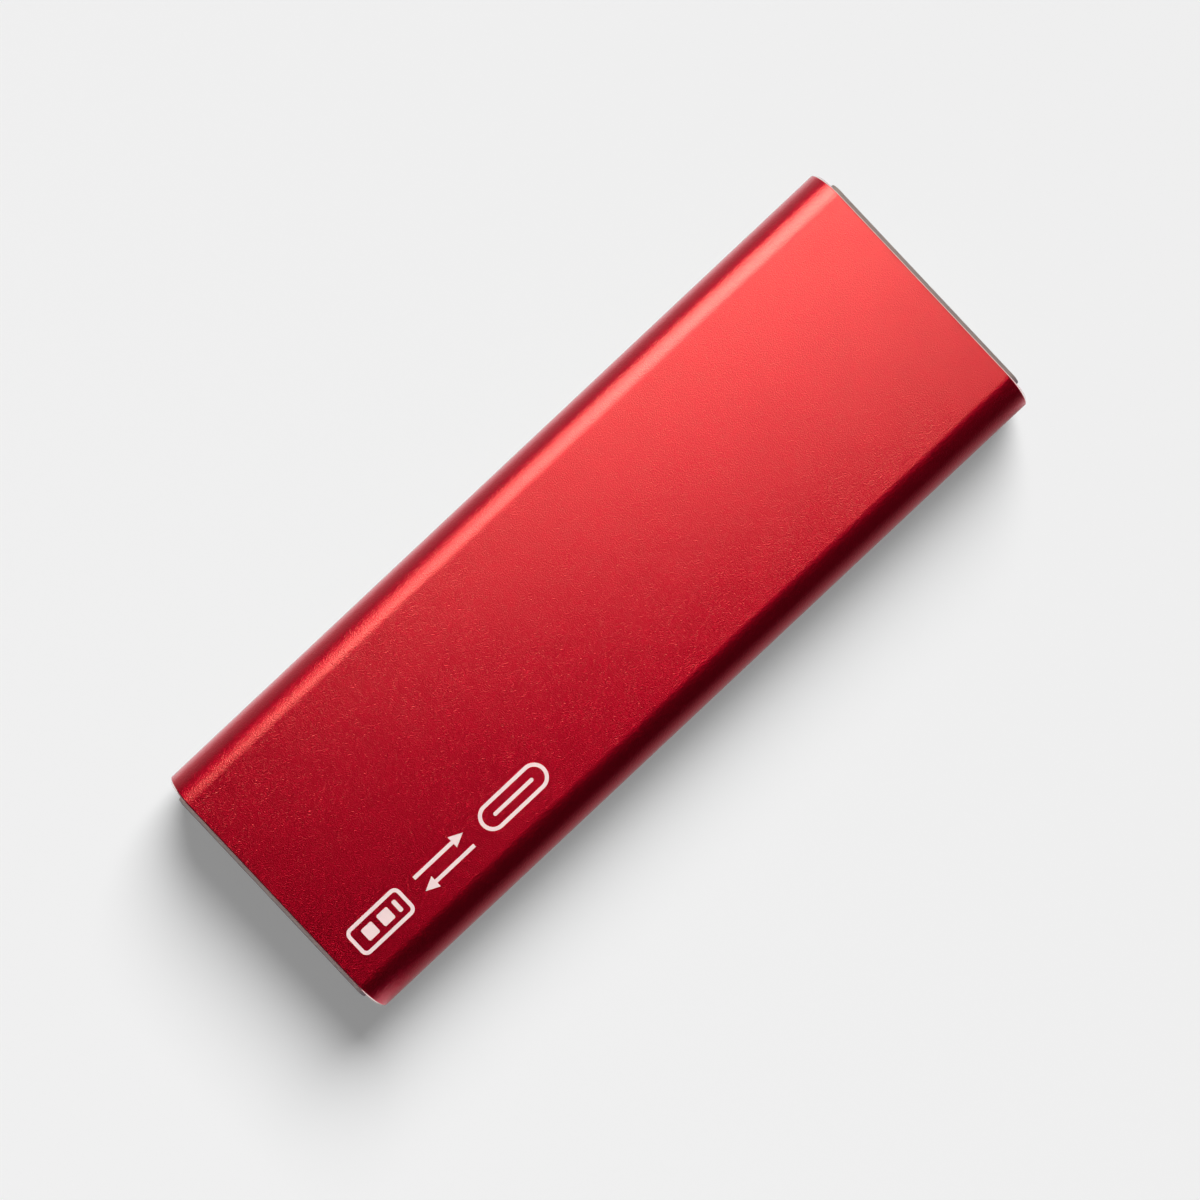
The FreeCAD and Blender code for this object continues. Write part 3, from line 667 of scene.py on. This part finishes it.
def face_print():
    """Three pictograms in a row: a drive, data both ways, and a port."""
    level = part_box("sleeve")[1].z
    builder = bmesh.new()
    drive_x = PRINT_START + DRIVE_MARK_LENGTH / 2
    outlined_plate(builder, drive_x, DRIVE_MARK_LENGTH, DRIVE_MARK_HEIGHT, DRIVE_MARK_RADIUS, level)
    for place in CHIP_MARK_PLACES:
        filled_plate(builder, drive_x + place, CHIP_MARK_SIZE, CHIP_MARK_SIZE, CHIP_MARK_RADIUS, level)
    plug_x = drive_x + PLUG_MARK_PLACE
    filled_plate(builder, plug_x, PLUG_MARK_LENGTH, CHIP_MARK_SIZE, CHIP_MARK_RADIUS, level)

    arrow_start = PRINT_START + DRIVE_MARK_LENGTH + PRINT_GAP
    arrow_end = arrow_start + ARROW_MARK_LENGTH
    arrow(builder, arrow_start, arrow_end, PRINT_MIDDLE + ARROW_MARK_OFFSET, level)
    arrow(builder, arrow_end, arrow_start, PRINT_MIDDLE - ARROW_MARK_OFFSET, level)

    port_x = arrow_end + PRINT_GAP + PORT_MARK_LENGTH / 2
    outlined_plate(builder, port_x, PORT_MARK_LENGTH, PORT_MARK_HEIGHT, PORT_MARK_HEIGHT / 2, level)
    filled_plate(builder, port_x, TONGUE_MARK_LENGTH, PRINT_STROKE, PRINT_STROKE / 2, level)

    bmesh.ops.recalc_face_normals(builder, faces=builder.faces)
    for face in builder.faces:
        if face.normal.z < 0:
            face.normal_flip()
    film = bmesh.ops.extrude_face_region(builder, geom=list(builder.faces))
    raised = [item for item in film["geom"] if isinstance(item, bmesh.types.BMVert)]
    bmesh.ops.translate(builder, verts=raised, vec=(0, 0, PRINT_FILM))
    bmesh.ops.recalc_face_normals(builder, faces=builder.faces)
    new_piece("face_print", builder, (print_ink(),), "red_anodised")


def dress_nodes():
    """Gives every CAD piece that stays in view its finish; the caps throw no light back on the floor."""
    materials = {
        "cap_plastic": cap_plastic(),
        "light_pipe_resin": light_pipe_resin(),
        "solder_mask": solder_mask(),
    }
    for finish, looks in DRAWN_FINISHES.items():
        materials[finish] = drawn(finish, *looks)
    for finish, looks in SPECKLED_FINISHES.items():
        materials[finish] = speckled(finish, *looks)
    for finish, names in FINISHED_NODES.items():
        for name in names:
            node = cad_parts[name]
            node.data.materials.clear()
            node.data.materials.append(materials[finish])
    for name in CAPS:
        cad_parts[name].visible_diffuse = False


def stage_piece(name, builder, material):
    """A piece of the set around the drive."""
    mesh = bpy.data.meshes.new(name)
    builder.to_mesh(mesh)
    builder.free()
    mesh.materials.append(material)
    piece = bpy.data.objects.new(name, mesh)
    bpy.context.scene.collection.objects.link(piece)
    piece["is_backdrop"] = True
    return piece


def floor():
    """A pale matt sheet that takes the drive's shadow, with a faint glow of its own as lit paper has."""
    builder = bmesh.new()
    bmesh.ops.create_circle(builder, cap_ends=True, segments=FLOOR_SEGMENTS, radius=FLOOR_SIZE / 2)
    paper = {"Base_Color": (FLOOR_TONE, FLOOR_TONE, FLOOR_TONE, 1), "Roughness": 1.0}
    finish = Finish("floor_paper", Specular_IOR_Level=0.0, Emission_Color=WHITE, **paper)
    path = finish.nodes.new("ShaderNodeLightPath")
    seen = path.outputs["Is Camera Ray"]
    for ray in ("Is Glossy Ray", "Is Transmission Ray"):
        seen = finish.math("MAXIMUM", seen, path.outputs[ray])
    finish.feed("Emission Strength", finish.math("MULTIPLY", seen, FLOOR_GLOW))
    sheet = stage_piece("floor", builder, finish.material)
    sheet.location.z = -FLOOR_GAP
    return sheet


def backdrop():
    """A pale wall far round the floor, behind views from near the ground, taller beyond the drive's ends."""
    builder = bmesh.new()
    bmesh.ops.create_circle(builder, segments=FLOOR_SEGMENTS, radius=FLOOR_SIZE / 2)
    raised = bmesh.ops.extrude_edge_only(builder, edges=list(builder.edges))
    top = [item for item in raised["geom"] if isinstance(item, bmesh.types.BMVert)]
    for corner in top:
        towards_end = corner.co.x / corner.co.length
        corner.co.z = BACKDROP_HEIGHT + BACKDROP_RISE * towards_end ** 2
    glow = {"Emission_Color": WHITE, "Emission_Strength": BACKDROP_TONE}
    finish = Finish("backdrop_paper", Base_Color=BLACK, Specular_IOR_Level=0.0, **glow)
    return stage_piece("backdrop", builder, finish.material)


def card(name, colour, tones, fade, faces):
    """A thin glowing card given by the corners of its faces, which shows in the drive's gloss and nowhere
    else, as a painted reflection.
    """
    builder = bmesh.new()
    for corners in faces:
        builder.faces.new([builder.verts.new(corner) for corner in corners])
    finish = Finish(name, Base_Color=BLACK, Specular_IOR_Level=0.0, Emission_Color=colour)
    finish.feed("Emission Strength", finish.fit(finish.axis("Z"), 0.0, fade, *tones))
    piece = stage_piece(name, builder, finish.material)
    piece.visible_camera = False
    piece.visible_diffuse = False
    piece.visible_shadow = False


def standing(x_start, y_start, x_end, y_end):
    """The corners of a card that stands on the floor."""
    foot = ((x_start, y_start, 0), (x_end, y_end, 0))
    return (*foot, (x_end, y_end, CARD_HEIGHT), (x_start, y_start, CARD_HEIGHT))


def cards():
    """Dark glowing cards by the two shaded sides that paint shade into the drive's reflections, and a pale
    one by the lit side that paints a reflection there.
    """
    low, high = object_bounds()
    right = low.y - CARD_REACH
    foot = right + CARD_FOOT
    rear = low.x - CARD_REACH
    front = high.x + CARD_REACH
    left = high.y + CARD_REACH
    lying = ((low.x, right, 0), (high.x, right, 0), (high.x, foot, 0), (low.x, foot, 0))
    side = standing(low.x, right, front, right)
    end = standing(rear, low.y, rear, left)
    lit = standing(rear, left, front, left)
    # The dark cards paint shade into the reflections, the pale card paints a reflection
    card("painted_shade_card_side", SHADE_REFLECTION_COLOUR, SHADE_REFLECTION_TONES, SHADE_REFLECTION_FADE, (side, lying))
    card("painted_shade_card_end", SHADE_REFLECTION_COLOUR, SHADE_REFLECTION_TONES, SHADE_REFLECTION_FADE, (end,))
    card("painted_reflection_card", LIT_SIDE_REFLECTION_COLOUR, LIT_SIDE_REFLECTION_TONES, LIT_SIDE_REFLECTION_FADE, (lit,))


def place_light(name, lamp, towards, distance=0.0):
    """A lamp in that direction from the drive, facing it."""
    holder = bpy.data.objects.new(name, lamp)
    way = Vector(towards).normalized()
    holder.location = way * distance
    holder.rotation_mode = "QUATERNION"
    holder.rotation_quaternion = way.to_track_quat("Z", "Y")
    holder.visible_camera = False
    bpy.context.scene.collection.objects.link(holder)
    return holder


def area_lamp(name, shape, width, length, radiance, colour):
    """A flat lamp whose power goes with its size, so that a larger one isn't dimmer."""
    lamp = bpy.data.lights.new(name, "AREA")
    lamp.shape = shape
    lamp.size = width
    lamp.size_y = length
    lamp.color = colour
    lamp.energy = radiance * math.pi * width * length
    return lamp


def direction(azimuth, zenith):
    """A unit vector from angles in degrees."""
    turn = math.radians(azimuth)
    lean = math.radians(zenith)
    return (math.sin(lean) * math.cos(turn), math.sin(lean) * math.sin(turn), math.cos(lean))


def lights(floor_sheet, wall):
    """A near softbox with a brighter core and a fill for the drive, and an even light for the floor alone.
    The wall's light stays off the floor too, so that the two meet at one tone."""
    box = (SOFTBOX_WIDTH, SOFTBOX_LENGTH, SOFTBOX_RADIANCE, SOFTBOX_COLOUR)
    key_lamp = area_lamp("softbox", "RECTANGLE", *box)
    key = place_light("softbox", key_lamp, direction(SOFTBOX_AZIMUTH, SOFTBOX_ZENITH), SOFTBOX_DISTANCE)
    disc = (CORE_SIZE, CORE_SIZE, CORE_RADIANCE, SOFTBOX_COLOUR)
    core_lamp = area_lamp("softbox_core", "ELLIPSE", *disc)
    core = place_light("softbox_core", core_lamp, direction(CORE_AZIMUTH, SOFTBOX_ZENITH), SOFTBOX_DISTANCE)
    fill_lamp = area_lamp("fill", "RECTANGLE", FILL_SIZE, FILL_SIZE, FILL_RADIANCE, FILL_COLOUR)
    fill = place_light("fill", fill_lamp, (0, 0, 1), FILL_HEIGHT)
    fill.visible_glossy = False
    fill.visible_transmission = False

    strip = (KICKER_WIDTH, KICKER_LENGTH, KICKER_RADIANCE, KICKER_COLOUR)
    kicker_lamp = area_lamp("kicker", "RECTANGLE", *strip)
    kicker = place_light("kicker", kicker_lamp, direction(KICKER_AZIMUTH, KICKER_ZENITH), KICKER_DISTANCE)

    even_lamp = bpy.data.lights.new("floor_light", "SUN")
    even_lamp.energy = SHADE_STRENGTH
    even_lamp.angle = math.radians(SHADE_SPREAD)
    even = place_light("floor_light", even_lamp, SHADE_DIRECTION)

    only_floor = bpy.data.collections.new("lit_by_floor_light")
    only_floor.objects.link(floor_sheet)
    even.light_linking.receiver_collection = only_floor
    not_floor = bpy.data.collections.new("lit_by_softbox")
    not_floor.objects.link(floor_sheet)
    not_floor.collection_objects[0].light_linking.link_state = "EXCLUDE"
    for source in (key, core, fill, kicker, wall):
        source.light_linking.receiver_collection = not_floor


def room():
    """The dim studio beyond the lights."""
    world = bpy.data.worlds.new("studio")
    world.use_nodes = True
    background = world.node_tree.nodes["Background"]
    background.inputs["Color"].default_value = WHITE
    background.inputs["Strength"].default_value = ROOM_TONE
    bpy.context.scene.world = world


def camera():
    """Looks straight down, turned so that the drive lies across the picture."""
    lens = bpy.data.cameras.new("camera")
    lens.lens = CAMERA_LENS
    lens.sensor_width = CAMERA_SENSOR
    lens.clip_start = CAMERA_NEAR
    holder = bpy.data.objects.new("camera", lens)
    holder.location = CAMERA_PLACE
    holder.rotation_euler = (0, 0, math.radians(CAMERA_TURN))
    bpy.context.scene.collection.objects.link(holder)
    bpy.context.scene.camera = holder


bpy.context.scene.view_settings.view_transform = "Standard"
sleeve()
face_print()
dress_nodes()
lights(floor(), backdrop())
cards()
room()
camera()
